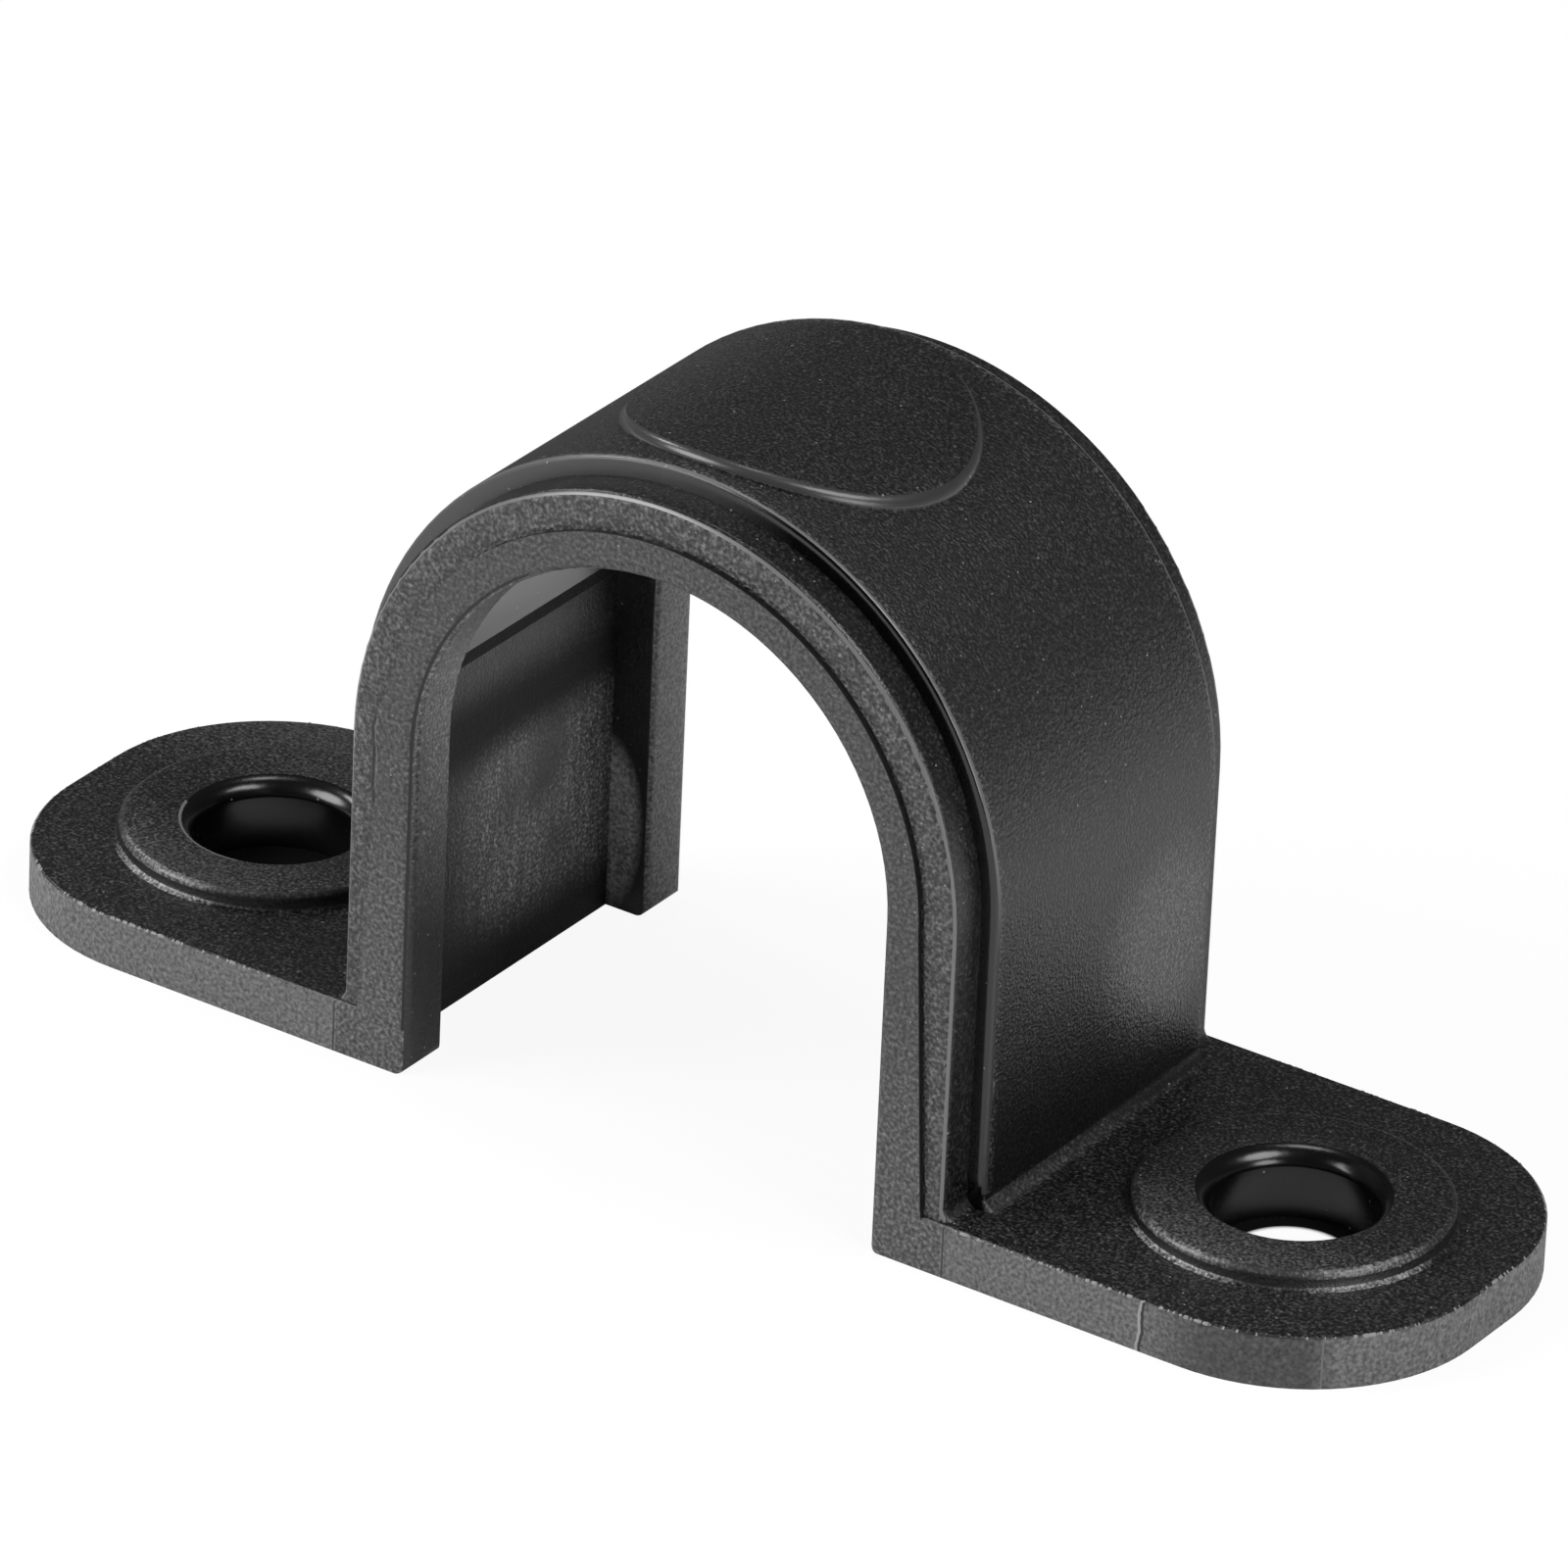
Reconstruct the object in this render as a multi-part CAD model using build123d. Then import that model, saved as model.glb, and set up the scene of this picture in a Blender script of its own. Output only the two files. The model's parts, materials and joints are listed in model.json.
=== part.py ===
"""One-piece moulded saddle clamp that holds a 22 mm pipe to a flat surface with two screws.

Frame: millimetres, +Z up, the base lies on z = 0 and the origin is at the middle of the base.
X runs from foot to foot and Y runs along the pipe. The saddle is the same on both sides of the
planes x = 0 and y = 0.
"""
import os

from build123d import *

# Pipe and arch
BORE_D = 22.2           # a 22 mm pipe with a little play: width between the legs, and round crown
ARCH_CENTRE_H = 14.5    # height of the bore's centre above the base
DEPTH = 19.4            # length of the saddle along the pipe

# Hat section of the arch: two rims with a raised band between them, hollow inside
RIM_WALL = 3.25         # bore to the outer face of a rim
RIM_W = 1.95            # end face of the saddle to the side of the band
BAND_RISE = 0.8         # band stands proud of the rims
LIP_W = 2.65            # width of the lip at each end of the hollow
LEG_HOLLOW = 1.95       # depth of the hollow in the legs, from the lip's face
CROWN_HOLLOW = 1.45     # depth of the hollow under the crown
LEDGE_RISE = 1.9        # ledge between the two depths, above the bore's centre

# Land on each end face, where the two halves of the mould met
LAND_W = 1.66           # width of the land round the bore
LAND_SPREAD = 0.85      # how much wider the land is at the base
FACE_STEP = 0.22        # land stands proud of the rim's end face

# Feet, bosses and screw holes
LENGTH = 67.5           # over both feet
FOOT_T = 2.28
FOOT_CORNER_R = 8.15
HOLE_SPACING = 49.0
HOLE_D = 6.6            # clearance hole for a 6 mm screw
BOSS_RING = 3.12        # width of the raised ring round a hole
BOSS_RISE = 0.77

# Bare oval pad on the crown
PAD_LENGTH = 14.4
PAD_WIDTH = 13.8
PAD_RISE = 0.45

# Edges: the long ones are rounded, the turned ones are rounded in flats, the small ones are broken
RIM_EDGE_R = 0.38       # outer edges of the rims
LAND_EDGE_R = 0.45      # bore edge on an end face
LEG_EDGE_R = 0.5        # bore edge on the base
RIM_FOOT_R = 0.52       # rim into foot
BAND_FOOT_R = 0.68      # band into foot
BOSS_EDGE_R = 0.32      # top edge of a boss
HOLE_EDGE_R = 0.5       # wall of a screw hole into its cone
HOLE_CONE = 0.6         # how much wider the mouth of a screw hole is
BOSS_FOOT = 0.14        # boss into foot
BAND_EDGE = 0.16        # outer edges of the band
LIP_EDGE = 0.22         # bore edge beside the hollow
FOOT_EDGE = 0.12
PAD_EDGE = 0.3

# Values that follow from the sizes above
BORE_R = BORE_D / 2
RIM_R = BORE_R + RIM_WALL
BAND_R = RIM_R + BAND_RISE
LAND_R = BORE_R + LAND_W
LAND_BASE_X = LAND_R + LAND_SPREAD
HOLLOW_W = DEPTH - 2 * LIP_W
LEDGE_H = ARCH_CENTRE_H + LEDGE_RISE
BOSS_R = HOLE_D / 2 + BOSS_RING
BOSS_TOP = FOOT_T + BOSS_RISE
OVERCUT = 2.0           # cutters reach this far past the material
CENTRE = (0, ARCH_CENTRE_H)


def along_pipe(profile, width):
    """Extrude an X-Z profile along Y, half to each side."""
    return extrude(profile, width / 2, both=True)


def tombstone(radius, base_x, base_z=0.0):
    """X-Z outline of a round arch on two legs that end at height base_z, base_x from the middle."""
    with BuildSketch(Plane.XZ) as outline:
        with BuildLine():
            arch = CenterArc(CENTRE, radius, 0, 180)
            Polyline(arch @ 1, (-base_x, base_z), (base_x, base_z), arch @ 0)
        make_face()
    return outline.sketch


def flared_arch(radius, flare, width):
    """Arch whose legs run into the top of the feet with a flare."""
    toe = radius + flare
    with BuildSketch(Plane.XZ) as outline:
        with BuildLine():
            arch = CenterArc(CENTRE, radius, 0, 180)
            for side, end in ((1, arch @ 0), (-1, arch @ 1)):
                turn = 180 if side > 0 else 270
                heel = (side * toe, FOOT_T + flare)
                Line(end, (side * radius, FOOT_T + flare))
                CenterArc(heel, flare, turn, 90)
                Line((side * toe, FOOT_T), (side * toe, 0))
            Line((-toe, 0), (toe, 0))
        make_face()
    return along_pipe(outline.sketch, width)


def outer_edges(arch):
    """Edges round both ends of an arch, above the feet."""
    ends = arch.edges().group_by(Axis.Y)
    return [edge for edge in ends[0] + ends[-1] if edge.center().Z > FOOT_T]


def feet():
    """Flat plate with rounded ends, its top edge just broken."""
    plate = extrude(RectangleRounded(LENGTH, DEPTH, FOOT_CORNER_R), FOOT_T)
    return chamfer(plate.faces().sort_by(Axis.Z)[-1].edges(), FOOT_EDGE)


def in_flats(centre, radius, start, sweep, count):
    """Points along an arc of a turned outline, joined by flats."""
    arc = CenterArc(centre, radius, start, sweep)
    return [arc @ (step / count) for step in range(count + 1)]


def turned(points):
    """Revolve a closed radius-height outline about the vertical axis of a screw hole."""
    with BuildSketch(Plane.XZ) as outline:
        with BuildLine():
            Polyline(*points, close=True)
        make_face()
    return revolve(outline.sketch, Axis.Z)


def boss():
    """Raised ring on a foot, with a spread foot and a rounded top edge."""
    toe = BOSS_R + BOSS_FOOT
    edge = in_flats((BOSS_R - BOSS_EDGE_R, BOSS_TOP - BOSS_EDGE_R), BOSS_EDGE_R, 0, 90, 3)
    return turned([(0, 0), (toe, 0), (toe, FOOT_T), (BOSS_R, FOOT_T + BOSS_FOOT), *edge, (0, BOSS_TOP)])


def hole():
    """Cutter for a screw hole whose wall rounds into a 45 degree cone at the top of its boss."""
    radius = HOLE_D / 2
    mouth = radius + HOLE_CONE
    above = BOSS_TOP + OVERCUT
    wall_top = BOSS_TOP - HOLE_CONE - (2**0.5 - 1) * HOLE_EDGE_R
    edge = in_flats((radius + HOLE_EDGE_R, wall_top), HOLE_EDGE_R, 180, -45, 2)
    return turned([(0, -OVERCUT), (radius, -OVERCUT), *edge, (mouth, BOSS_TOP), (mouth, above), (0, above)])


def pad():
    """Bare oval pad that follows the crown of the band, its top edge broken."""
    oval = Pos(0, 0, ARCH_CENTRE_H) * Ellipse(PAD_LENGTH / 2, PAD_WIDTH / 2)
    prism = extrude(oval, 2 * BAND_R)
    crown = along_pipe(tombstone(BAND_R + PAD_RISE, BAND_R + PAD_RISE), DEPTH)
    body = prism & crown
    return chamfer(body.faces().sort_by(Axis.Z)[-1].edges(), PAD_EDGE)


def hollow():
    """Cutter for the space between the lips: deeper in the legs, with a ledge below the crown."""
    crown = along_pipe(tombstone(BORE_R + CROWN_HOLLOW, BORE_R + CROWN_HOLLOW, -OVERCUT), HOLLOW_W)
    legs = Pos(0, 0, LEDGE_H) * Box(
        2 * (BORE_R + LEG_HOLLOW),
        HOLLOW_W,
        LEDGE_H + OVERCUT,
        align=(Align.CENTER, Align.CENTER, Align.MAX),
    )
    return crown + legs


def bore_edges(body, y_from_middle):
    """Edges of the bore's outline that lie this far from the middle, at both ends."""
    found = []
    for edge in body.edges():
        place = edge.center()
        spread = edge.bounding_box()
        level = spread.size.Y < 1e-4 and abs(abs(place.Y) - y_from_middle) < 1e-4
        on_leg = spread.size.X < 1e-4 and abs(abs(place.X) - BORE_R) < 1e-4
        on_crown = edge.geom_type == GeomType.CIRCLE and abs(edge.radius - BORE_R) < 1e-4
        if level and (on_leg or on_crown):
            found.append(edge)
    return found


def leg_rounding():
    """Cutter that rounds the legs off where the bore meets the base."""
    toe = BORE_R + LEG_EDGE_R
    with BuildSketch(Plane.XZ) as outline:
        for side, turn in ((1, 180), (-1, 270)):
            inner = side * (BORE_R - OVERCUT)
            with BuildLine():
                CenterArc((side * toe, LEG_EDGE_R), LEG_EDGE_R, turn, 90)
                Polyline((side * toe, 0), (side * toe, -OVERCUT), (inner, -OVERCUT))
                Polyline((inner, -OVERCUT), (inner, LEG_EDGE_R), (side * BORE_R, LEG_EDGE_R))
            make_face()
    return along_pipe(outline.sketch, DEPTH + 2 * OVERCUT)


def saddle():
    """The whole moulding: arch, feet, bosses and pad, less the bore, the hollow and the holes."""
    land = along_pipe(tombstone(LAND_R, LAND_BASE_X), DEPTH)
    rims = flared_arch(RIM_R, RIM_FOOT_R, DEPTH - 2 * FACE_STEP)
    rims = fillet(outer_edges(rims), RIM_EDGE_R)
    band = flared_arch(BAND_R, BAND_FOOT_R, DEPTH - 2 * RIM_W)
    band = chamfer(outer_edges(band), BAND_EDGE)
    body = feet() + land + rims + band + pad()
    holes = [Pos(side * HOLE_SPACING / 2, 0, 0) for side in (-1, 1)]
    for place in holes:
        body += place * boss()
    body -= along_pipe(tombstone(BORE_R, BORE_R, -OVERCUT), DEPTH + 2 * OVERCUT)
    body -= hollow()
    for place in holes:
        body -= place * hole()
    body = fillet(bore_edges(body, DEPTH / 2), LAND_EDGE_R)
    body = chamfer(bore_edges(body, HOLLOW_W / 2), LIP_EDGE)
    return body - leg_rounding()


os.makedirs("parts", exist_ok=True)
export_step(saddle(), "parts/saddle.step")
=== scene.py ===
# %% [markdown]
# # A moulded saddle clamp
#
# A saddle clamp is one piece of black plastic. Its arch goes over a pipe, and a screw through
# each foot holds it to a wall or a board. The shape is already settled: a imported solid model
# is loaded as a fixed frame. This lesson gives that solid its camera, its studio, the skin
# that the mould left on it, and the small marks of moulding that a drawing leaves out.

import json
from math import cos, pi, radians, sin

import bpy
import numpy as np
from mathutils import Matrix, Vector


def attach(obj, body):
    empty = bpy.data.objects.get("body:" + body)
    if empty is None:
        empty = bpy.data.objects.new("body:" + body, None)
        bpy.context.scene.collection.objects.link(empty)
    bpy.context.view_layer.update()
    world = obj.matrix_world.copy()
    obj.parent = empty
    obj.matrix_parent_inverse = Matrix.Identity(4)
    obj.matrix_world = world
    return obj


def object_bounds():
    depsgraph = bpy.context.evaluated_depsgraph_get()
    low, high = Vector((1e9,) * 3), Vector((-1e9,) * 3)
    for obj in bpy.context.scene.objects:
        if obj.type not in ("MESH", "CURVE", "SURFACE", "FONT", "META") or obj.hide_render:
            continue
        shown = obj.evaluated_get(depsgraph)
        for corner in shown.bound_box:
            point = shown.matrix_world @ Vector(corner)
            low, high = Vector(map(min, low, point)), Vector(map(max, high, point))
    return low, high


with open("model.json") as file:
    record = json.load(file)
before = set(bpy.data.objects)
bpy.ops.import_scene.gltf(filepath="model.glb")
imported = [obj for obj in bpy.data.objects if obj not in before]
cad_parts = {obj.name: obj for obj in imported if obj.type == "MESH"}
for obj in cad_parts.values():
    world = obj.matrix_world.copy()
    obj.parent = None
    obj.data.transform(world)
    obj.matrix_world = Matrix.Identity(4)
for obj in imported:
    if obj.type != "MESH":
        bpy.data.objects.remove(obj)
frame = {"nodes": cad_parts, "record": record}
cad_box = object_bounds()
saddle = frame["nodes"]["saddle"]
print("saddle:", len(saddle.data.polygons), "faces, from", cad_box[0], "to", cad_box[1])

# %% [markdown]
# ## Sizes
#
# Sizes are written in millimetres, because the maker's drawing would be, and Blender counts in
# metres. The large ones are read from the frame's record, so they follow the solid. The widths
# of the steps round the arch are written here once and used by every finish that needs them.

# %% Read the sizes
MM = 0.001
mounts = {mount["name"]: mount for mount in frame["record"]["mounts"]}
HALF_LENGTH, HALF_DEPTH = (size / MM for size in cad_box[1][:2])
BORE_R = mounts["pipe_seat"]["dims"]["r_mm"]
ARCH_H = mounts["pipe_seat"]["pos_m"][2] / MM
HOLE_X = mounts["screw_hole_right"]["pos_m"][0] / MM
HOLE_R = mounts["screw_hole_right"]["dims"]["r_mm"]

LAND_R = BORE_R + 1.66            # flat land round the bore, on the end faces
LAND_SPREAD = 0.85                # how much wider the land is at the base
RIM_R = BORE_R + 3.25             # outer face of a rim
BAND_R = RIM_R + 0.8              # outer face of the band between the rims
RIM_FACE_Y = HALF_DEPTH - 0.22    # the rim's end face is set back from the land
BAND_Y = HALF_DEPTH - 1.95        # side of the band
LIP_Y = HALF_DEPTH - 2.65         # inner side of a lip, where the hollow starts
LEG_WALL_X = BORE_R + 1.95        # wall of the hollow in the legs
LEDGE_H = ARCH_H + 1.9            # ledge inside the hollow
FOOT_T = 2.28                     # thickness of a foot
FOOT_CORNER_R = 8.15              # round corners of a foot
MOUTH_R = HOLE_R + 0.6            # mouth of a screw hole
BOSS_R = HOLE_R + 3.12            # outside of the raised ring round a screw hole
BOSS_TOP = 3.05
FAR = 100.0                       # further than any point of the part
print("bore radius", BORE_R, "arch height", ARCH_H, "screw holes at", HOLE_X)

# %% [markdown]
# ## The camera
#
# The object was photographed from the front right and a little above, with a long lens, which
# keeps the two feet almost the same size. Turn, height and roll are angles round a point inside
# the arch. The camera's three axes are worked out from them, so nothing has to be aimed by hand.

# %% Place the camera
VIEW_TURN, VIEW_HEIGHT, VIEW_ROLL = radians(33.18), radians(28.04), radians(-2.565)
VIEW_DISTANCE = 605.2
VIEW_POINT = Vector((-2.96, 4.43, 9.99))
LENS_MM, SENSOR_MM = 349.3, 36.0

right = Vector((cos(VIEW_TURN), sin(VIEW_TURN), 0))
level_look = Vector((-sin(VIEW_TURN), cos(VIEW_TURN), 0))
look = cos(VIEW_HEIGHT) * level_look - Vector((0, 0, sin(VIEW_HEIGHT)))
upward = right.cross(look)
rolled_right = cos(VIEW_ROLL) * right - sin(VIEW_ROLL) * upward
rolled_up = sin(VIEW_ROLL) * right + cos(VIEW_ROLL) * upward

camera_data = bpy.data.cameras.new("camera")
camera_data.lens, camera_data.sensor_width = LENS_MM, SENSOR_MM
camera_data.clip_start, camera_data.clip_end = 0.01, 100
camera = bpy.data.objects.new("camera", camera_data)
turn = Matrix((rolled_right, rolled_up, -look)).transposed().to_4x4()
camera.matrix_world = Matrix.Translation((VIEW_POINT - VIEW_DISTANCE * look) * MM) @ turn
bpy.context.scene.collection.objects.link(camera)
bpy.context.scene.camera = camera
bpy.context.scene.view_settings.view_transform = "Standard"
print("camera at", camera.matrix_world.translation)

# %% [markdown]
# ## Helpers for materials
#
# Colours are written as on screen, in hexadecimal, and shaders count in linear light, so one
# function turns one into the other. A second function adds a node: it takes the node's kind, its
# inputs, each a number or another node's output, and its settings, and it hands back one output.

# %% Colour and node helpers
def linear(colour):
    """Linear RGBA of an sRGB colour such as "#2b2b2c"."""
    parts = np.array([int(colour[i:i + 2], 16) for i in (1, 3, 5)]) / 255
    low, high = parts / 12.92, ((parts + 0.055) / 1.055) ** 2.4
    return (*np.where(parts <= 0.04045, low, high).tolist(), 1.0)


def add(tree, kind, inputs=None, out=0, **settings):
    """Add a shader node with its settings and inputs, and return the output that is asked for."""
    node = tree.nodes.new("ShaderNode" + kind)
    for name, value in settings.items():
        setattr(node, name, value)
    for name, value in (inputs or {}).items():
        if isinstance(value, bpy.types.NodeSocket):
            tree.links.new(value, node.inputs[name])
        else:
            node.inputs[name].default_value = value
    return node.outputs[out] if node.outputs else node


def new_material(name):
    """An empty material and its node tree."""
    material = bpy.data.materials.new(name)
    material.use_nodes = True
    material.node_tree.nodes.clear()
    return material, material.node_tree


print("black plastic in linear light:", linear("#2b2b2c"))

# %% [markdown]
# ## The studio floor
#
# The object stands on seamless white paper that curves up far behind it. A flat plane would end
# in a horizon, so the floor is a dish: a profile of radius and height, turned round the vertical
# axis. A grid of points is enough for such a surface, and the burrs further down use the same
# function to make their mesh.

# %% Make the floor
FLOOR_R, COVE_R = 2.0, 0.6        # metres


def surface_mesh(name, points, closed_v=False):
    """Mesh of quads over a grid of points: points[i, j] is joined to its next along each way."""
    rows, columns = points.shape[:2]
    number = np.arange(rows * columns).reshape(rows, columns)
    if closed_v:
        number = np.concatenate([number, number[:, :1]], 1)
    quads = np.stack([number[:-1, :-1], number[1:, :-1], number[1:, 1:], number[:-1, 1:]], -1)
    mesh = bpy.data.meshes.new(name)
    mesh.from_pydata(points.reshape(-1, 3), [], quads.reshape(-1, 4).tolist())
    mesh.shade_smooth()
    return mesh


def dish(flat_radius, cove_radius):
    """Flat disc out to flat_radius, then a quarter circle upwards, turned round Z."""
    bend = np.linspace(0, pi / 2, 12)
    radius = np.concatenate([[0.0], flat_radius + cove_radius * np.sin(bend)])
    height = np.concatenate([[0.0], cove_radius * (1 - np.cos(bend))])
    around = np.linspace(0, 2 * pi, 64, endpoint=False)
    x = radius[:, None] * np.cos(around)
    y = radius[:, None] * np.sin(around)
    return np.stack([x, y, np.broadcast_to(height[:, None], x.shape)], -1)


floor = bpy.data.objects.new("floor", surface_mesh("floor", dish(FLOOR_R, COVE_R), closed_v=True))
bpy.context.scene.collection.objects.link(floor)
print("floor:", len(floor.data.polygons), "faces")

# %% [markdown]
# ## The paper
#
# The paper is plain white and keeps the shadow. Seen by the camera it also glows at strength 1,
# which is white, so no lamp has to be turned up to whiten it. In a reflection it glows less, so
# that the shade under the arch still shows in the shiny plastic. Two places are darker:
#
# - At the bottom of a screw hole the paper carries painted shade in its colour and in its glow. It
#   is lit in the middle and painted dark along the wall, and a painted shade of the arch covers the
#   back of it in the left hole.
# - Far behind the left foot the paper is painted near black where it is seen in a reflection. This
#   painted dark reflection stands in for the black card that studios use to keep one side of a shiny
#   object dark.

# %% Make the paper
GLOW_SEEN, GLOW_REFLECTED = 0.92, 0.1
LIT_R, DARK_R = 2.35, 2.6         # lit paper at the bottom of a hole, and where it is dark
# way of the painted shade that the arch casts over the back of the left hole
SHADE_WAY = level_look            # the arch shades the back of the left hole
SHADE_FADE = 0.5
HOLE_LIGHT = ((HOLE_X, FAR), (-HOLE_X, 1.2))    # place of a hole, and how far back its paper is lit
# painted dark reflection far behind the left foot: its middle, where it is full and where it fades
DARK_REFLECTION_PLACE, DARK_REFLECTION_R, DARK_REFLECTION_FADE_R = (-120 * MM, 120 * MM, 0), 110, 135

paper, tree = new_material("seamless_paper")
seen = add(tree, "LightPath", out="Is Camera Ray")
path = seen.node.outputs
mirrored = add(tree, "Math", {0: path["Is Glossy Ray"], 1: path["Is Transmission Ray"]}, operation="MAXIMUM")
mirror_share = add(tree, "Math", {0: mirrored, 1: GLOW_REFLECTED}, operation="MULTIPLY")
share = add(tree, "Math", {0: seen, 1: GLOW_SEEN, 2: mirror_share}, operation="MULTIPLY_ADD")

ground = add(tree, "TexCoord", out="Object")
# painted shade at the bottom of each screw hole, in the paper's glow and in its colour
lit = 1.0
for hole_x, lit_to in HOLE_LIGHT:
    from_middle = add(tree, "VectorMath", {0: ground, 1: (hole_x * MM, 0, 0)}, operation="SUBTRACT")
    away = add(tree, "VectorMath", {0: from_middle}, out="Value", operation="LENGTH")
    middle = add(tree, "MapRange", {"Value": away, "From Min": DARK_R * MM, "From Max": LIT_R * MM})
    back = add(tree, "VectorMath", {0: from_middle, 1: SHADE_WAY}, out="Value", operation="DOT_PRODUCT")
    back = {"Value": back, "From Min": (lit_to + SHADE_FADE) * MM, "From Max": lit_to * MM}
    middle = add(tree, "Math", {0: middle, 1: add(tree, "MapRange", back)}, operation="MULTIPLY")
    outside = add(tree, "Math", {0: away, 1: (HOLE_R + 1) * MM}, operation="GREATER_THAN")
    middle = add(tree, "Math", {0: middle, 1: outside}, operation="MAXIMUM")
    lit = add(tree, "Math", {0: lit, 1: middle}, operation="MULTIPLY")
share = add(tree, "Math", {0: share, 1: lit}, operation="MULTIPLY")

# painted dark reflection: in reflections the paper is painted near black round this place
dark_reflection = add(tree, "VectorMath", {0: ground, 1: DARK_REFLECTION_PLACE}, out="Value", operation="DISTANCE")
dark_reflection = add(tree, "MapRange", {"Value": dark_reflection, "From Min": DARK_REFLECTION_FADE_R * MM, "From Max": DARK_REFLECTION_R * MM})
dark_reflection = add(tree, "Math", {0: dark_reflection, 1: path["Is Glossy Ray"]}, operation="MULTIPLY")

# painted shade: the paper goes from white to near black where the hole's shade is painted
white = {"Factor": lit, 6: linear("#141414"), 7: linear("#f4f4f4")}
white = add(tree, "Mix", white, out=2, data_type="RGBA")
white = add(tree, "Mix", {"Factor": dark_reflection, 6: white, 7: linear("#101010")}, out=2, data_type="RGBA")
matte = add(tree, "BsdfDiffuse", {"Color": white})
glow = add(tree, "Emission", {"Color": linear("#ffffff"), "Strength": 1.0})
mixed = add(tree, "MixShader", {0: share, 1: matte, 2: glow})
add(tree, "OutputMaterial", {"Surface": mixed})
floor.data.materials.append(paper)
print("paper on", floor.name)

# %% [markdown]
# ## The lights
#
# Black plastic shows its shape by what it reflects. The white floor lights the upright faces from
# below, one large soft light at the front left draws a bright line along the rounded edges, and a
# weaker one at the right fills in the end of that foot. A third overhead lights the floor on the
# right and behind, which the upright faces reflect, and two small ones put the gleam into the
# mouths of the screw holes. The room is dim, so faces that look up stay dark.

# %% Hang the lights
# name: turn from the front towards the right, height, distance mm, size mm, watts
LIGHTS = {
    "front_soft_light": (-48, 37, 380, 260, 1.35),
    "right_fill_light": (72, 20, 420, 200, 0.6),
    "overhead_soft_light": (95, 58, 450, 250, 1.1),
    "left_small_light": (-104, 40, 420, 90, 0.25),
    "back_small_light": (-149, 68, 500, 90, 0.15),
}
for name, (turn_deg, height_deg, distance, size, watts) in LIGHTS.items():
    turned, raised = radians(turn_deg), radians(height_deg)
    away = Vector((sin(turned) * cos(raised), -cos(turned) * cos(raised), sin(raised)))
    data = bpy.data.lights.new(name, "AREA")
    data.shape, data.size, data.energy = "DISK", size * MM, watts
    lamp = bpy.data.objects.new(name, data)
    aim = away.to_track_quat("Z", "Y").to_matrix().to_4x4()
    lamp.matrix_world = Matrix.Translation(away * distance * MM) @ aim
    bpy.context.scene.collection.objects.link(lamp)

ROOM_LIGHT = 0.06
world = bpy.data.worlds.new("dim_room")
world.use_nodes = True
world.node_tree.nodes["Background"].inputs["Color"].default_value = linear("#ffffff")
world.node_tree.nodes["Background"].inputs["Strength"].default_value = ROOM_LIGHT
bpy.context.scene.world = world
print("lights:", ", ".join(LIGHTS))

# %% [markdown]
# ## Soft edges
#
# The solid's small edges are flats, and a moulding's edges are never that crisp: the cutter that
# made the mould left them round. The faces are welded into one skin, split again only where two
# faces meet at more than a chamfer's angle, and the shading on each small flat is blended from one
# neighbour to the other. The shape itself stays as it is.

# %% Blend the shading over the small edges
weld = saddle.modifiers.new("weld", "WELD")
weld.merge_threshold = 0.0005 * MM
split = saddle.modifiers.new("keep_sharp", "EDGE_SPLIT")
split.split_angle = radians(50)
blend = saddle.modifiers.new("blend_edges", "WEIGHTED_NORMAL")
blend.mode, blend.weight = "FACE_AREA_WITH_ANGLE", 80
print("modifiers:", ", ".join(modifier.name for modifier in saddle.modifiers))

# %% [markdown]
# ## Where a point lies
#
# The clamp is moulded in black polyamide. The mould was cut by sparks, which leave a fine grain of
# tiny craters on the plastic, coarser on some faces of the mould than on others. So one material
# covers the whole piece, and it asks where a point lies and which way it faces. The distance from
# the bore's axis is measured along the arch: straight out from the legs below the axis, and
# radially above it. The distance from a screw hole is the same for both feet.

# %% Measure where a point lies
plastic, tree = new_material("moulded_polyamide")
surface = add(tree, "TexCoord", out="Object")
place = add(tree, "VectorMath", {0: surface, "Scale": 1 / MM}, operation="SCALE")
x, y, z = add(tree, "SeparateXYZ", {0: place}).node.outputs
facing = add(tree, "VectorMath", {0: surface.node.outputs["Normal"]}, operation="ABSOLUTE")
face_x, face_y, face_z = add(tree, "SeparateXYZ", {0: facing}).node.outputs
side_x = add(tree, "Math", {0: x}, operation="ABSOLUTE")
side_y = add(tree, "Math", {0: y}, operation="ABSOLUTE")

above = add(tree, "Math", {0: z, 1: ARCH_H}, operation="SUBTRACT")
above = add(tree, "Math", {0: above, 1: 0.0}, operation="MAXIMUM")
around = add(tree, "CombineXYZ", {"X": x, "Z": above})
arch_r = add(tree, "VectorMath", {0: around}, out="Value", operation="LENGTH")
past_hole = add(tree, "Math", {0: side_x, 1: HOLE_X}, operation="SUBTRACT")
from_hole = add(tree, "CombineXYZ", {"X": past_hole, "Y": y})
hole_r = add(tree, "VectorMath", {0: from_hole}, out="Value", operation="LENGTH")


def between(tree, *limits):
    """Mask that is 1 where every (value, from, to) lies between its limits, and 0 elsewhere."""
    mask = None
    for value, low, high in limits:
        middle, reach = (low + high) / 2, (high - low) / 2
        inside = add(tree, "Math", {0: value, 1: middle, 2: reach}, operation="COMPARE")
        mask = inside if mask is None else add(tree, "Math", {0: mask, 1: inside}, operation="MULTIPLY")
    return mask


def fading(tree, value, start, full, within, **settings):
    """Mask that grows from 0 where the value is start to 1 where it is full, kept within another."""
    grown = add(tree, "MapRange", {"Value": value, "From Min": start, "From Max": full}, **settings)
    return add(tree, "Math", {0: grown, 1: within}, operation="MULTIPLY")


print("a point is measured with", len(tree.nodes), "nodes")
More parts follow.
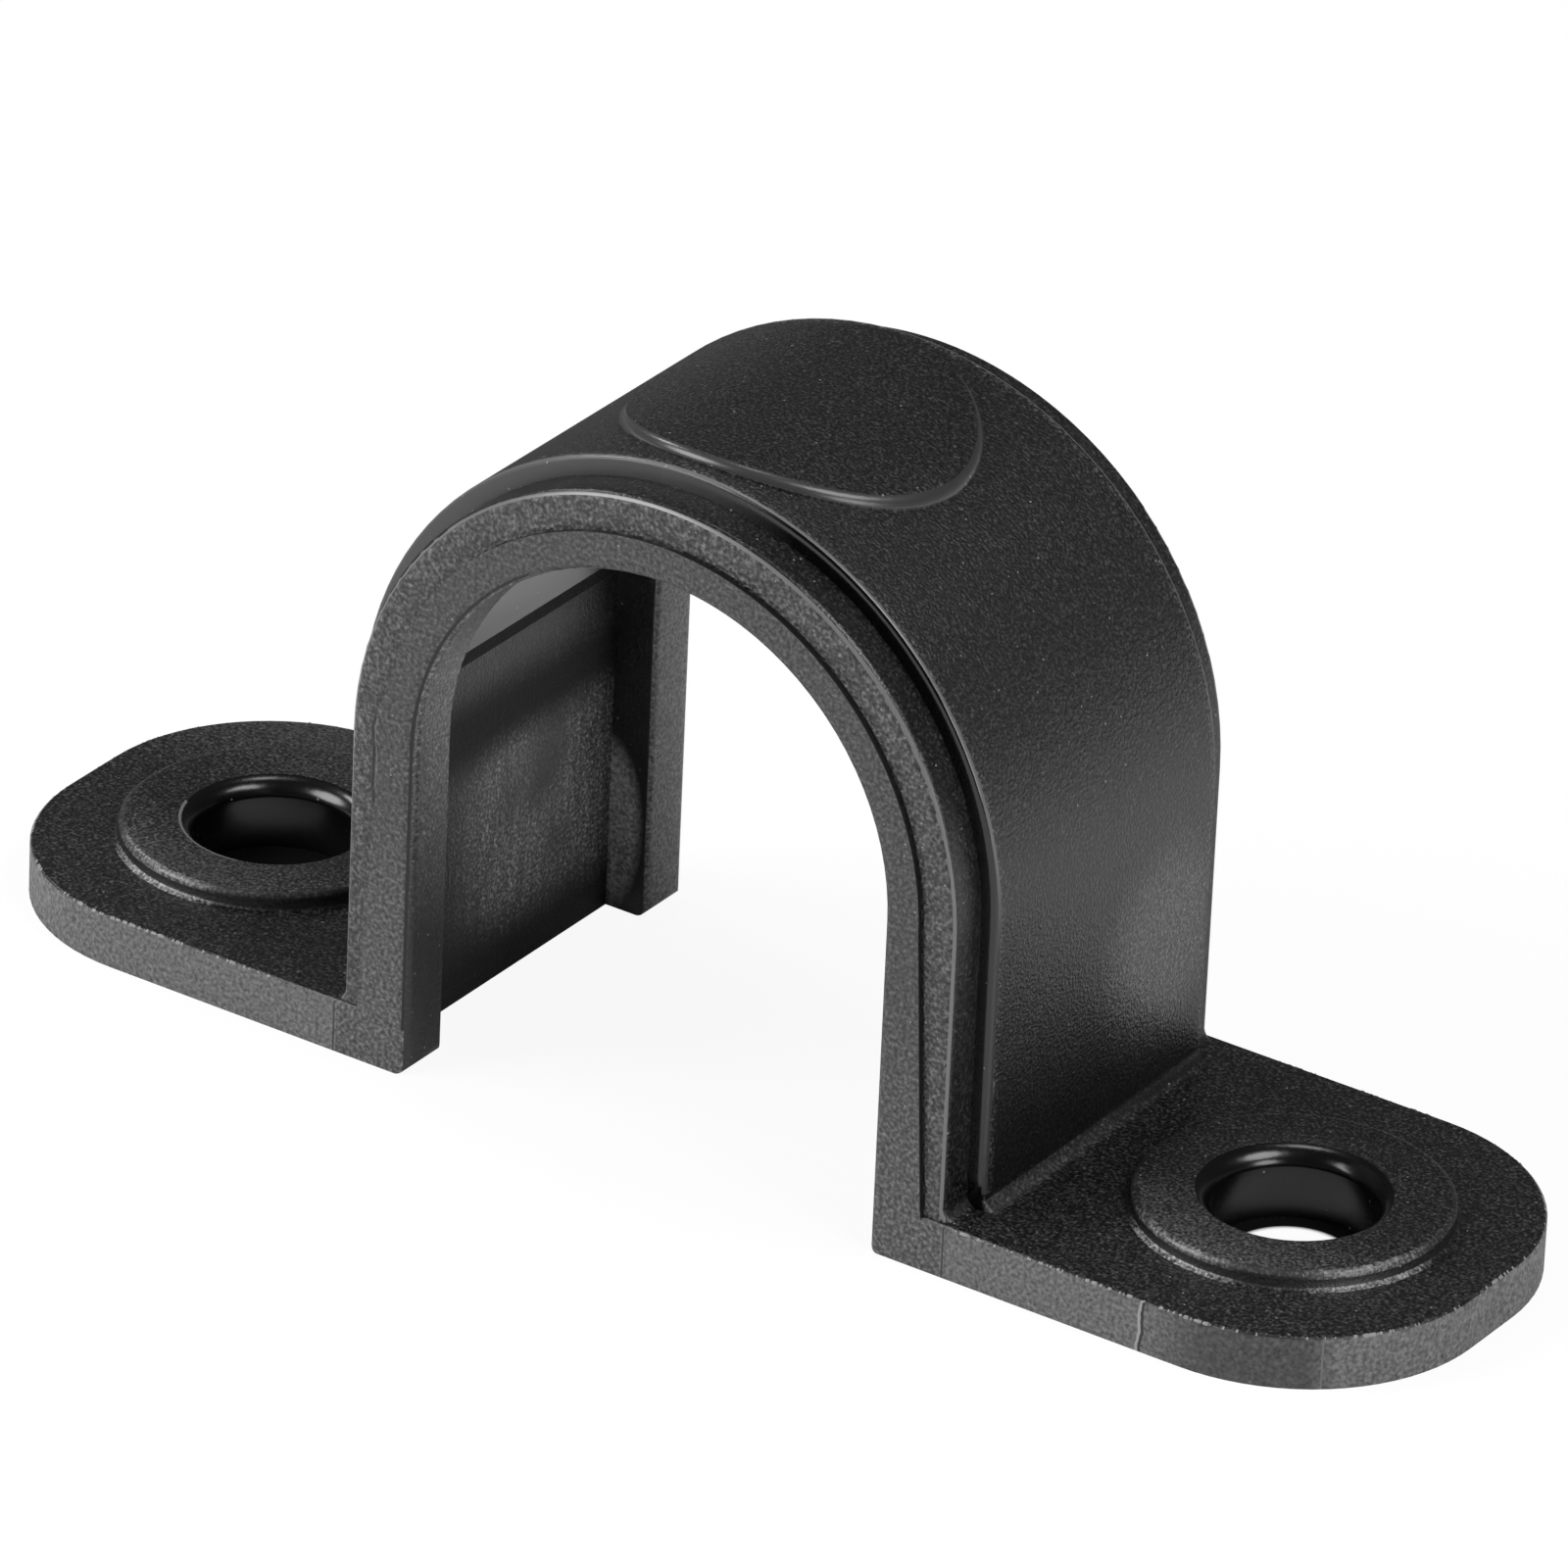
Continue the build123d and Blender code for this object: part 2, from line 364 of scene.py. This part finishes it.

# %% [markdown]
# ## The skin of the feet
#
# The feet's upright sides are grainy and pale, and darker round the near corner of the right foot.
# Their tops are dark, with a painted sheen at the back of the left one. A boss's side is painted
# dark as painted shade between two narrow edges, and both edges carry painted highlights: near the
# front on both feet, and also on the right of the right one. The near part of a boss's top carries
# a painted highlight too, and the walls of the screw holes carry painted shade. Each mask below is
# one of these places.

# %% Find the regions of the feet
UPRIGHT, LEVEL = (face_z, -0.1, 0.4), (face_z, 0.8, 1.1)
foot_wall = (UPRIGHT, (z, -1, FOOT_T - 0.06), (hole_r, HOLE_R + 1, FAR))
foot_side = between(tree, *foot_wall, (side_x, RIM_R + 0.1, FAR))
DARKER_FROM, DARKER_TO = 23.9, 31.3         # the darker place on the right foot
darker_corner = between(tree, *foot_wall, (x, DARKER_FROM, DARKER_TO), (y, -FAR, 0))
darker_corner = fading(tree, x, DARKER_FROM, 26.5, darker_corner)
darker_corner = fading(tree, x, DARKER_TO, 30.4, darker_corner)
top = (LEVEL, (z, FOOT_T - 0.1, BOSS_TOP + 0.1))
foot_top = between(tree, *top)
left_top = between(tree, *top, (x, -FAR, -RIM_R))
# painted sheen on the back of the left foot's top, growing towards the back
foot_far = fading(tree, y, 2.0, 9.0, left_top)
# walls of the screw holes: smooth, with painted shade in their near black colour, darker towards the bottom
hole_wall = between(tree, (hole_r, 0, MOUTH_R - 0.01), (z, 0.02, FAR))
hole_foot = fading(tree, z, 2.0, 0.4, hole_wall)

clear_of_leg = (side_x, BAND_R + 0.8, FAR)
boss_rounding = ((hole_r, BOSS_R - 0.36, BOSS_R - 0.01), (z, BOSS_TOP - 0.3, FAR), (face_z, 0.2, 0.985))
boss_rounding = between(tree, *boss_rounding, clear_of_leg)
# painted shade: the side of a boss is painted darker than the plastic
boss_side = ((hole_r, BOSS_R - 0.1, BOSS_R + 0.1), (z, FOOT_T + 0.12, BOSS_TOP - 0.2))
boss_side = between(tree, *boss_side, clear_of_leg)
boss_foot = ((hole_r, BOSS_R - 0.02, BOSS_R + 0.22), (z, FOOT_T - 0.02, FOOT_T + 0.13))
boss_foot = between(tree, *boss_foot, clear_of_leg)
boss_top = between(tree, (z, FOOT_T + 0.5, FAR), (hole_r, MOUTH_R, BOSS_R + 0.1), (face_z, 0.9, 1.1))
# painted highlight on the near part of a boss's top
boss_near = fading(tree, y, -1.5, -5.5, boss_top)

# painted highlight on the bosses' edges: turn from the front, half its spread, half of its
# brightest part, feet that have it
PAINTED_GLEAMS = ((-16, 30, 12, (x, -FAR, FAR)), (62, 27, 10, (x, 0, FAR)))
hole_side = add(tree, "Math", {0: x}, operation="SIGN")
hole_dx = add(tree, "Math", {0: hole_side, 1: -HOLE_X, 2: x}, operation="MULTIPLY_ADD")
bearing = add(tree, "CombineXYZ", {"X": hole_dx, "Y": y})
bearing = add(tree, "VectorMath", {0: bearing}, operation="NORMALIZE")
gleam = 0.0
for turn_deg, reach_deg, full_deg, feet in PAINTED_GLEAMS:
    towards = (sin(radians(turn_deg)), -cos(radians(turn_deg)), 0)
    painted_gleam = add(tree, "VectorMath", {0: bearing, 1: towards}, out="Value", operation="DOT_PRODUCT")
    painted_gleam = fading(tree, painted_gleam, cos(radians(reach_deg)), cos(radians(full_deg)), between(tree, feet))
    gleam = add(tree, "Math", {0: gleam, 1: painted_gleam}, operation="MAXIMUM")
# painted highlights on the top edge and on the foot of a boss, where the gleams above fall
edge_gleam = add(tree, "Math", {0: boss_rounding, 1: gleam}, operation="MULTIPLY")
foot_gleam = add(tree, "Math", {0: boss_foot, 1: gleam}, operation="MULTIPLY")
print("with the feet:", len(tree.nodes), "nodes")

# %% [markdown]
# ## The skin of the arch
#
# From the end to the middle the arch has an end face with a coarse outer strip, a rounded rim edge,
# the outside of the rim, the groove beside the band, the band's edge and the band. The end face is
# painted paler near the floor, the rim edge and the band's edge carry painted highlights, and the
# groove carries painted shade, with painted light on its left. The band's right leg carries a
# painted sheen, and the legs are painted darker further down as painted shade. Where the band runs
# into the foot, its flare carries painted light at the front end.

# %% Find the regions outside the arch
ACROSS = (face_y, 0.75, 1.1)
end_face = between(tree, ACROSS, (side_y, RIM_FACE_Y - 0.15, FAR))
# painted light: the end face is painted paler towards the floor
near_floor = fading(tree, z, 12.0, 2.0, end_face)
rim_step = (side_y, RIM_FACE_Y - 0.15, RIM_FACE_Y + 0.1)
rim_strip = between(tree, ACROSS, rim_step, (arch_r, LAND_R - 0.1, RIM_R + 0.05))
rim_round = (side_y, RIM_FACE_Y - 0.4, RIM_FACE_Y + 0.02)
# painted highlight along the rim's rounded edge
rim_edge = between(tree, (face_y, 0.6, 0.86), rim_round, (arch_r, RIM_R - 0.4, RIM_R + 0.1))
rim_top = ((arch_r, RIM_R - 0.1, RIM_R + 0.1), (y, -RIM_FACE_Y, -BAND_Y), (z, FOOT_T + 0.5, FAR))
rim_outside = between(tree, *rim_top, (face_y, -0.1, 0.6))

above_flare = (z, FOOT_T + 0.7, FAR)
band_side = (side_y, BAND_Y - 0.2, BAND_Y + 0.02)
# painted highlights along the band's edge, and along its lower part on the legs
band_edge = between(tree, (face_y, -0.1, 0.9), band_side, (arch_r, BAND_R - 0.07, BAND_R + 0.1), above_flare)
leg_edge = between(tree, (face_y, -0.1, 0.99), band_side, (arch_r, BAND_R - 0.15, BAND_R + 0.1), above_flare)
leg_edge = fading(tree, z, ARCH_H + 4, ARCH_H - 1, leg_edge)
# painted highlight: the band is painted lighter towards its edge
border = between(tree, (side_y, 0, BAND_Y + 0.02), (arch_r, BAND_R - 0.2, BAND_R + 0.1), above_flare)
band_border = fading(tree, side_y, BAND_Y - 0.6, BAND_Y - 0.1, border)
# painted shade: the groove beside the band is painted near black, with painted light on its left
groove = ((face_y, 0.3, 1.1), (side_y, BAND_Y - 0.12, BAND_Y + 0.1), (arch_r, RIM_R, BAND_R - 0.07))
groove = between(tree, *groove)
lit_groove = fading(tree, x, 5.0, -1.0, groove)

leg = between(tree, (arch_r, BAND_R - 0.1, BAND_R + 0.8), (z, FOOT_T + 0.1, FAR))
leg = fading(tree, z, ARCH_H + 6, ARCH_H - 3, leg)
# painted shade: the band's legs are painted darker towards the foot
leg_painted_shade = fading(tree, z, 9.0, 5.0, leg)
# painted sheen on the band's right leg
painted_sheen = add(tree, "VectorMath", {0: place, 1: (BAND_R, 4.5, 9.0)}, out="Value", operation="DISTANCE")
painted_sheen = {"Value": painted_sheen, "From Min": 5.5, "From Max": 1.5}
painted_sheen = add(tree, "MapRange", painted_sheen, interpolation_type="SMOOTHSTEP")
# painted light on the front end of the band's flare
flare = ((arch_r, BAND_R + 0.03, BAND_R + 0.72), (z, FOOT_T + 0.02, FOOT_T + 0.6), (side_y, 0, BAND_Y))
flare = fading(tree, y, 4.0, -7.0, between(tree, *flare))
band = between(tree, (arch_r, BAND_R - 0.05, FAR), (z, FOOT_T + 0.8, FAR), (side_y, 0, BAND_Y - 0.1))
# painted highlight along the pad's edge
pad_edge = between(tree, (arch_r, BAND_R + 0.08, BAND_R + 0.42), (z, ARCH_H + 8, FAR))
pad_top = between(tree, (arch_r, BAND_R + 0.3, FAR), (z, ARCH_H + 10, FAR))
print("with the outside of the arch:", len(tree.nodes), "nodes")

# %% [markdown]
# ## The skin inside the arch
#
# The faces of the lips are smooth, with painted light that makes them paler towards the crown, and
# the back lip is painted paler still. The lips' edges carry a painted highlight. Between them lies
# the hollow. Its crown left polished steel and is smooth, and its pale colour is a painted
# reflection. A painted shade line runs under the ledge, and the wall of the left leg has a painted
# shade band below it, then a cloudy patch of painted light, then painted shade near the floor. The
# side of the back lip is painted dark as painted shade, apart from an oval of painted light at its
# foot.

# %% Find the regions inside the arch
bore = ((arch_r, 0, BORE_R + 0.35), (face_y, -0.1, 0.7))
lip_face = between(tree, *bore)
# painted light: the faces of the lips are painted paler towards the crown
lip_top = fading(tree, z, 6.0, 18.0, lip_face)
# painted light: the back lip is painted paler
back_lip = between(tree, *bore, (y, 0, FAR))
# painted highlight along the inner edge of the lips
lip_edge = ((arch_r, BORE_R + 0.02, BORE_R + 0.3), (side_y, LIP_Y - 0.02, LIP_Y + 0.24), (face_y, 0.2, 0.95))
lip_edge = between(tree, *lip_edge)
# painted shade on the side of the back lip, with an oval of painted light at its foot
lip_side = between(tree, ACROSS, (side_y, LIP_Y - 0.1, LIP_Y + 0.1), (arch_r, BORE_R, LAND_R + 0.6))
OVAL_H, OVAL_SHAPE = 3.8, 2.4     # height of the oval's middle, and how much higher than wide it is
oval = add(tree, "Math", {0: arch_r, 1: OVAL_SHAPE}, operation="MULTIPLY")
oval = add(tree, "CombineXYZ", {"X": oval, "Z": z})
oval_middle = (OVAL_SHAPE * LEG_WALL_X, 0, OVAL_H)
oval = add(tree, "VectorMath", {0: oval, 1: oval_middle}, out="Value", operation="DISTANCE")
lip_side_low = fading(tree, oval, 4.1, 2.9, lip_side)

between_lips = ((arch_r, BORE_R + 0.4, LAND_R + 0.4), (side_y, -1, LIP_Y + 0.02))
whole_hollow = between(tree, *between_lips)
hollow = between(tree, *between_lips, (z, -1, LEDGE_H))
# the crown of the hollow is smooth, and its pale colour is a painted reflection
crown_hollow = between(tree, *between_lips, (z, LEDGE_H, FAR))
# painted shade line under the ledge
under_ledge = between(tree, *between_lips, (z, LEDGE_H - 1.15, LEDGE_H))
# painted light: a cloudy lit patch on the wall of the hollow
cloud = add(tree, "TexNoise", {"Vector": place, "Scale": 0.22, "Detail": 2.0})
cloudy = fading(tree, cloud, 0.30, 0.52, hollow)
lit_wall = add(tree, "VectorMath", {0: place, 1: (-LEG_WALL_X, 3.6, 6.5)}, out="Value", operation="DISTANCE")
lit_wall = fading(tree, lit_wall, 8.5, 4.5, cloudy, interpolation_type="SMOOTHSTEP")
# painted shade: a dark band on the wall of the hollow, and shade near the floor
SHADE_BAND_H = 12.0
from_band = add(tree, "Math", {0: z, 1: SHADE_BAND_H}, operation="SUBTRACT")
from_band = add(tree, "Math", {0: from_band}, operation="ABSOLUTE")
painted_shade_wall = fading(tree, from_band, 2.6, 0.4, hollow, interpolation_type="SMOOTHSTEP")
wall_foot = fading(tree, z, 4.0, 1.0, hollow, interpolation_type="SMOOTHSTEP")
painted_shade_wall = add(tree, "Math", {0: painted_shade_wall, 1: wall_foot}, operation="MAXIMUM")
print("with the inside of the arch:", len(tree.nodes), "nodes")

# %% [markdown]
# ## The grain
#
# Spark craters on the end faces are about a sixth of a millimetre across, and on the other faces
# about a tenth, which is close to one pixel, so that grain is drawn a little coarser than it is. The
# walls of the hollow were drawn off the steel core, which scratched them along the way it left.
# Here and there the skin carries painted glints: tiny pale dots at the centres of scattered cells.

# %% Make the grain
CRATER_MM, FINE_MM, SCRATCH_MM, GLINT_MM = 0.17, 0.14, (0.25, 0.25, 3.0), 0.55
SCRATCH_SHARE = 0.25
GLINT_R, GLINT_CHANCE = 0.085, 0.66     # radius as a share of a cell, and the cells that stay bare
crater = add(tree, "TexNoise", {"Vector": place, "Scale": 1 / CRATER_MM, "Detail": 1.0, "Roughness": 0.5})
fine = add(tree, "TexNoise", {"Vector": place, "Scale": 1 / FINE_MM, "Detail": 1.0, "Roughness": 0.5})
along = add(tree, "VectorMath", {0: place, 1: SCRATCH_MM}, operation="DIVIDE")
scratch = add(tree, "TexNoise", {"Vector": along, "Scale": 1.0, "Detail": 2.0, "Roughness": 0.6})
grainy = add(tree, "Math", {0: end_face, 1: foot_side}, operation="MAXIMUM")
smooth = add(tree, "Math", {0: hole_wall, 1: crown_hollow}, operation="MAXIMUM")
for region in (groove, rim_edge, band_edge, pad_edge):
    smooth = add(tree, "Math", {0: smooth, 1: region}, operation="MAXIMUM")
height = add(tree, "Mix", {"Factor": grainy, 2: fine, 3: crater}, data_type="FLOAT")
drawn = add(tree, "Math", {0: hollow, 1: SCRATCH_SHARE}, operation="MULTIPLY")
height = add(tree, "Mix", {"Factor": drawn, 2: height, 3: scratch}, data_type="FLOAT")
height = add(tree, "Mix", {"Factor": smooth, 2: height, 3: 0.5}, data_type="FLOAT")
cell = add(tree, "TexVoronoi", {"Vector": place, "Scale": 1 / GLINT_MM}).node.outputs
chance = add(tree, "SeparateXYZ", {0: cell["Color"]})
painted_glint = between(tree, (cell["Distance"], -1, GLINT_R), (chance, GLINT_CHANCE, 1.1))
print("grain of", CRATER_MM, "and", FINE_MM, "mm")

# %% [markdown]
# ## The marks of moulding
#
# Where inserts of the mould met, they left fine lines: one up each foot's front face beside the
# leg, a raised one in the middle of the right foot, and one on its corner. The raised line is
# painted pale as a painted highlight, with a painted shadow beside it. Painted shade lies in the
# step beside the land on the right, and along the bore's edge on the left. The mouth of the left
# screw hole has a painted highlight along its edge, and the left leg has a nick in its rim, drawn
# as painted shade with a painted highlight along one side. The raised line and the nick wander a
# little.

# %% Place the marks
INSERT_X, RAISED_X, CORNER_X, NICK_X = 14.54, 24.02, 30.83, -12.96
wander = add(tree, "TexNoise", {"Vector": place, "Scale": 0.9, "Detail": 2.0})
wander_x = add(tree, "Math", {0: wander, 1: 0.5, 2: x}, operation="MULTIPLY_ADD")
spread = {"Value": z, "From Min": 0.0, "From Max": ARCH_H, "To Min": -LAND_SPREAD, "To Max": 0.0}
step_r = add(tree, "Math", {0: arch_r, 1: add(tree, "MapRange", spread)}, operation="ADD")
front, low = (y, -FAR, -RIM_FACE_Y - 0.1), (z, -1, FOOT_T - 0.05)
front_rim, nick_z = (y, -FAR, -RIM_FACE_Y + 0.1), (z, 11.6, 15.4)

insert_line = between(tree, (side_x, INSERT_X, INSERT_X + 0.08), front, low)
# painted shade in the step beside the land
land_step = (step_r, LAND_R - 0.02, LAND_R + 0.1)
land_step = between(tree, land_step, (x, 1, FAR), front_rim, (z, FOOT_T + 0.3, FAR))
# painted shade along the bore's edge
bore_line = ((arch_r, BORE_R + 0.14, BORE_R + 0.25), (x, -FAR, -6), (y, -FAR, -HALF_DEPTH + 0.6))
bore_line = between(tree, *bore_line, (z, 2, FAR))
# painted highlight along the near edge of the left screw hole's mouth
mouth_edge = ((hole_r, MOUTH_R - 0.05, MOUTH_R + 0.07), (z, BOSS_TOP - 0.09, FAR))
mouth_edge = between(tree, *mouth_edge, (x, -FAR, -HOLE_X + 0.8), (y, -FAR, -1))
# painted shadow beside the raised line, and a painted highlight on it
raised_shade = between(tree, (wander_x, RAISED_X, RAISED_X + 0.14), front, low)
raised_line = between(tree, (wander_x, RAISED_X - 0.14, RAISED_X), front, low)
corner_line = between(tree, (x, CORNER_X, CORNER_X + 0.06), (y, -FAR, 0), low, (hole_r, HOLE_R + 1, FAR))
# the nick: painted shade in it, and a painted highlight along its edge
nick = between(tree, (wander_x, NICK_X - 0.02, NICK_X + 0.14), front_rim, nick_z)
nick_edge = between(tree, (wander_x, NICK_X + 0.14, NICK_X + 0.2), front_rim, nick_z)
MARKS = (
    # mark, colour
    (insert_line, "#2a2a2a"),
    (land_step, "#0a0a0a"),
    (bore_line, "#0a0a0a"),
    (mouth_edge, "#6a6a6a"),
    (raised_shade, "#1c1c1c"),
    (raised_line, "#8e8e8e"),
    (corner_line, "#606060"),
    (nick, "#0c0c0c"),
    (nick_edge, "#5c5c5c"),
)
print("marks:", len(MARKS))

# %% [markdown]
# ## The plastic
#
# Rough grain scatters light, so the end faces look paler and duller than the tops of the feet and
# the band. The walls of the screw holes and the crown of the hollow left polished steel and are
# shiny; the walls are painted dark as painted shade, and the crown is painted pale as a painted
# reflection. Many regions below carry painted light or shade in their colour, as the comments at
# their masks say. Each region names its colour and its roughness, and a later one covers an earlier
# one. The pits of the grain are darker than its peaks: the contrast says how much. The last list
# says how deep the grain stands on a region.

# %% Make the plastic
SKIN = (
    # region, colour, roughness
    (leg, "#151515", 0.40),
    (leg_painted_shade, "#060606", 0.40),
    (painted_sheen, "#363636", 0.25),
    (lip_face, "#131313", 0.34),
    (lip_top, "#505050", 0.34),
    (back_lip, "#5c5c5c", 0.42),
    (pad_top, "#141414", 0.40),
    (pad_edge, "#343434", 0.28),
    (foot_top, "#1b1b1b", 0.38),
    (foot_far, "#363636", 0.38),
    (flare, "#2a2a2a", 0.46),
    (boss_near, "#363636", 0.40),
    (boss_rounding, "#1b1b1b", 0.60),
    (boss_side, "#070707", 0.45),
    (edge_gleam, "#4e4e4e", 0.36),
    (foot_gleam, "#707070", 0.42),
    (rim_outside, "#121212", 0.35),
    (band_border, "#2b2b2b", 0.40),
    (groove, "#040404", 0.12),
    (lit_groove, "#3a3a3a", 0.46),
    (band_edge, "#606060", 0.30),
    (leg_edge, "#303030", 0.45),
    (hollow, "#1a1a1a", 0.40),
    (lit_wall, "#5c5c5c", 0.34),
    (painted_shade_wall, "#080808", 0.75),
    (lip_side, "#101010", 0.45),
    (lip_side_low, "#a0a0a0", 0.40),
    (lip_edge, "#5c5c5c", 0.40),
    (under_ledge, "#060606", 0.80),
    (crown_hollow, "#525252", 0.18),
    (hole_wall, "#080808", 0.22),
    (hole_foot, "#070707", 0.34),
    (end_face, "#393939", 0.58),
    (near_floor, "#494949", 0.60),
    (rim_strip, "#393939", 0.50),
    (rim_edge, "#666666", 0.28),
    (foot_side, "#5a5a5a", 0.62),
    (darker_corner, "#3a3a3a", 0.60),
)
CONTRAST = (
    (end_face, 2.4),
    (foot_side, 1.4),
    (rim_strip, 3.2),
    *((region, 2.8) for region in (boss_near, painted_sheen, lip_face, edge_gleam, foot_gleam, flare)),
    *((region, 1.8) for region in (back_lip, lip_side, foot_far)),
)
DEPTH = ((grainy, 0.5), (rim_strip, 0.75), (whole_hollow, 0.4), (band, 0.4), (painted_sheen, 0.3))
GRAIN_MM, GLINT_STRENGTH = 0.12, 0.7
POLYAMIDE_IOR = 1.53

colour, roughness = linear("#141414"), 0.44
for region, shade, rough in SKIN:
    colour = add(tree, "Mix", {"Factor": region, 6: colour, 7: linear(shade)}, out=2, data_type="RGBA")
    roughness = add(tree, "Mix", {"Factor": region, 2: roughness, 3: rough}, data_type="FLOAT")
contrast, depth = 4.6, 0.2
for region, strength in CONTRAST:
    contrast = add(tree, "Mix", {"Factor": region, 2: contrast, 3: strength}, data_type="FLOAT")
for region, strength in DEPTH:
    depth = add(tree, "Mix", {"Factor": region, 2: depth, 3: strength}, data_type="FLOAT")
pits = add(tree, "Math", {0: height, 1: 2.0}, operation="MULTIPLY")
pits = add(tree, "Math", {0: pits, 1: contrast}, operation="POWER")
pitted = {"Factor": 1.0, 6: colour, 7: pits}
colour = add(tree, "Mix", pitted, out=2, data_type="RGBA", blend_type="MULTIPLY")
# painted glints: pale dots on the grain
painted_glint = add(tree, "Math", {0: painted_glint, 1: GLINT_STRENGTH}, operation="MULTIPLY")
for mark, shade in ((painted_glint, "#8c8c8c"), *MARKS):
    colour = add(tree, "Mix", {"Factor": mark, 6: colour, 7: linear(shade)}, out=2, data_type="RGBA")

bump = add(tree, "Bump", {"Height": height, "Strength": depth, "Distance": GRAIN_MM * MM})
skin = {"Base Color": colour, "Roughness": roughness, "IOR": POLYAMIDE_IOR, "Normal": bump}
add(tree, "OutputMaterial", {"Surface": add(tree, "BsdfPrincipled", skin)})
saddle.material_slots[0].material = plastic
print("plastic on", saddle.name)

# %% [markdown]
# ## Burrs
#
# The two halves of the mould met along the top edge of the feet. A little plastic crept into that
# joint and tore off when the mould opened, so the edge carries ragged pale flakes. A flake is too
# thin to be worth a solid. One strip follows the edge of a foot, mostly sunk just under the skin,
# and rises out of it where a flake stands.

# %% Grow the burrs
BURR_STEP = 0.04                        # mm along the edge
BURR_W, BURR_RISE = 0.12, 0.045         # width of the strip and height of a flake
BURR_START = RIM_R + 0.6                # the edge starts beside the leg
BURR_LOW, BURR_INSET = FOOT_T - 0.122, 0.01    # lower side of the strip, and how far in it lies
BURR_SUNK = 0.1                         # part of a flake's height that stays under the skin


def ragged(count, seed):
    """Uneven heights from 0 to 1 along a strip: smoothed random numbers at three lengths."""
    chance = np.random.default_rng(seed)
    total = np.zeros(count)
    for length, weight in ((2, 0.35), (6, 0.35), (60, 0.45)):
        window = np.hanning(length + 2)[1:-1]
        noise = chance.normal(size=count + length - 1)
        total += weight * np.convolve(noise, window / np.linalg.norm(window), "valid")
    return np.clip(total, 0, None)


def foot_edge(side):
    """Points and outward directions along a foot's top edge, from its front leg to its back leg.

    A straight stretch, a quarter circle and the straight end, then the first two mirrored to the back.
    """
    corner_x, corner_y = HALF_LENGTH - FOOT_CORNER_R, FOOT_CORNER_R - HALF_DEPTH
    along = np.arange(0, corner_x - BURR_START, BURR_STEP)
    bend = np.arange(0, pi / 2, BURR_STEP / FOOT_CORNER_R)
    end = np.arange(0, -2 * corner_y, BURR_STEP)
    x = [BURR_START + along, corner_x + FOOT_CORNER_R * np.sin(bend), HALF_LENGTH + 0 * end]
    y = [-HALF_DEPTH + 0 * along, corner_y - FOOT_CORNER_R * np.cos(bend), corner_y + end]
    turn = np.concatenate([0 * along, bend, pi / 2 + 0 * end])
    path = np.stack([side * np.concatenate(x), np.concatenate(y)], 1)
    out = np.stack([side * np.sin(turn), -np.cos(turn)], 1)
    front = along.size + bend.size
    mirror = (1, -1)
    path = np.concatenate([path, path[:front][::-1] * mirror])
    return path, np.concatenate([out, out[:front][::-1] * mirror])


def burr(path, out, seed):
    """Strip of flakes on the broken edge: at t across it z = edge(t) + rise * ragged * 4t(1 - t)."""
    across = np.linspace(0, 1, 6)
    broken_edge = BURR_LOW + BURR_W * across
    flake = BURR_RISE * (ragged(len(path), seed) - BURR_SUNK)[:, None] * (4 * across * (1 - across))
    reach = -(BURR_INSET + BURR_W * across)[None, :, None]
    flat = path[:, None, :] + reach * out[:, None, :]
    return np.concatenate([flat, (broken_edge + flake)[..., None]], 2) * MM


# torn polyamide is rough and looks pale, because its fibres scatter the light
flakes, tree = new_material("torn_polyamide")
torn = {"Base Color": linear("#7a7a7a"), "Roughness": 0.5, "IOR": POLYAMIDE_IOR}
add(tree, "OutputMaterial", {"Surface": add(tree, "BsdfPrincipled", torn)})
for side, word in ((1, "right"), (-1, "left")):
    path, out = foot_edge(side)
    points = burr(path, out, seed=90 + side)
    piece = bpy.data.objects.new(word + "_foot_burr", surface_mesh(word + "_foot_burr", points))
    piece.data.materials.append(flakes)
    bpy.context.scene.collection.objects.link(piece)
    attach(piece, "root")
    print(piece.name, len(piece.data.polygons), "faces")
